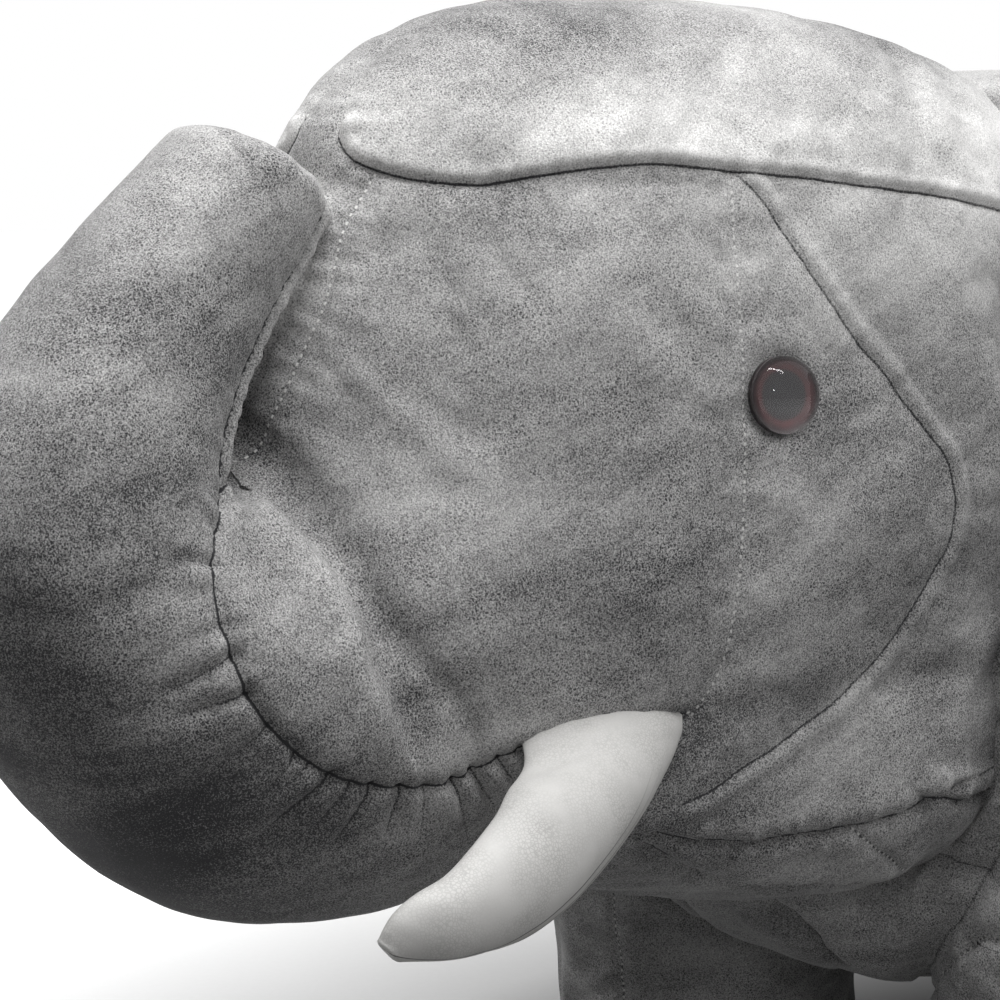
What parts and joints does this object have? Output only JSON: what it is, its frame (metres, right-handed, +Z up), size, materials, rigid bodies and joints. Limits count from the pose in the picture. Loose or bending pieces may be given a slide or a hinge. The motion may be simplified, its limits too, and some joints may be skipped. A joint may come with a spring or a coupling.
{
  "type": "elephant footstool",
  "caption": "Padded footstool shaped as a standing elephant with a raised curled trunk, tusks, flap ears and a hanging tail, on a timber frame; a low seat or footrest.",
  "frame": {"origin": "on the floor, midway along the overall length and on the plane of symmetry", "axes": "+Z up, the elephant faces -Y, its left side is +X"},
  "size_m": [0.4134, 0.7206, 0.4105],
  "materials": {
    "faux_suede": "brushed grey faux suede with a fine pebble grain and a cloudy nap",
    "tusk_leatherette": "smooth cream white leatherette, low sheen",
    "foam": "open upholstery foam",
    "stuffing": "polyester fibre",
    "timber": "planed, unfinished pine",
    "plywood": "sanded, unfinished plywood",
    "eye_plastic": "polished dark plastic with a red-brown rim",
    "nylon": "moulded nylon"
  },
  "bodies": {
    "stool": {"back_panel": "faux_suede", "belly_foam": "foam", "belly_panel": "faux_suede", "cheek_panel_left": "faux_suede", "cheek_panel_right": "faux_suede", "chest_foam": "foam", "chest_panel": "faux_suede", "eye_left": "eye_plastic", "eye_panel_left": "faux_suede", "eye_panel_right": "faux_suede", "eye_right": "eye_plastic", "eye_washer_left": "nylon", "eye_washer_right": "nylon", "face_panel_left": "faux_suede", "face_panel_right": "faux_suede", "flank_foam_left": "foam", "flank_foam_right": "foam", "flank_panel_left": "faux_suede", "flank_panel_right": "faux_suede", "forehead_panel": "faux_suede", "glide_front_left": "nylon", "glide_front_right": "nylon", "glide_rear_left": "nylon", "glide_rear_right": "nylon", "head_cap": "faux_suede", "head_stuffing": "stuffing", "jaw_panel": "faux_suede", "leg_front_left": "faux_suede", "leg_front_right": "faux_suede", "leg_post_front_left": "timber", "leg_post_front_right": "timber", "leg_post_rear_left": "timber", "leg_post_rear_right": "timber", "leg_rear_left": "faux_suede", "leg_rear_right": "faux_suede", "neck_board": "plywood", "rail_front": "timber", "rail_left": "timber", "rail_rear": "timber", "rail_right": "timber", "rump_foam": "foam", "rump_panel": "faux_suede", "seat_board": "plywood", "seat_foam": "foam", "sole_front_left": "faux_suede", "sole_front_right": "faux_suede", "sole_rear_left": "faux_suede", "sole_rear_right": "faux_suede", "trunk_inner_gusset": "faux_suede", "trunk_outer_panel": "faux_suede", "trunk_stuffing": "stuffing", "tusk_left": "tusk_leatherette", "tusk_right": "tusk_leatherette"},
    "ear_left": {"ear_left": "faux_suede"},
    "ear_right": {"ear_right": "faux_suede"},
    "tail": {"tail": "faux_suede", "tail_tuft": "faux_suede"}
  },
  "joints": [
    {"name": "ear_left_flap", "type": "hinge", "parent": "stool", "child": "ear_left", "pos_m": [0.0998, -0.06152, 0.182], "axis": [0, -0.0757, -0.9971], "range_deg": [-8, 30]},
    {"name": "ear_right_flap", "type": "hinge", "parent": "stool", "child": "ear_right", "pos_m": [-0.0998, -0.06152, 0.182], "axis": [0, 0.0757, 0.9971], "range_deg": [-8, 30]},
    {"name": "tail_swing", "type": "hinge", "parent": "stool", "child": "tail", "pos_m": [0, 0.34828, 0.285], "axis": [1, 0, 0], "range_deg": [0, 60]}
  ]
}
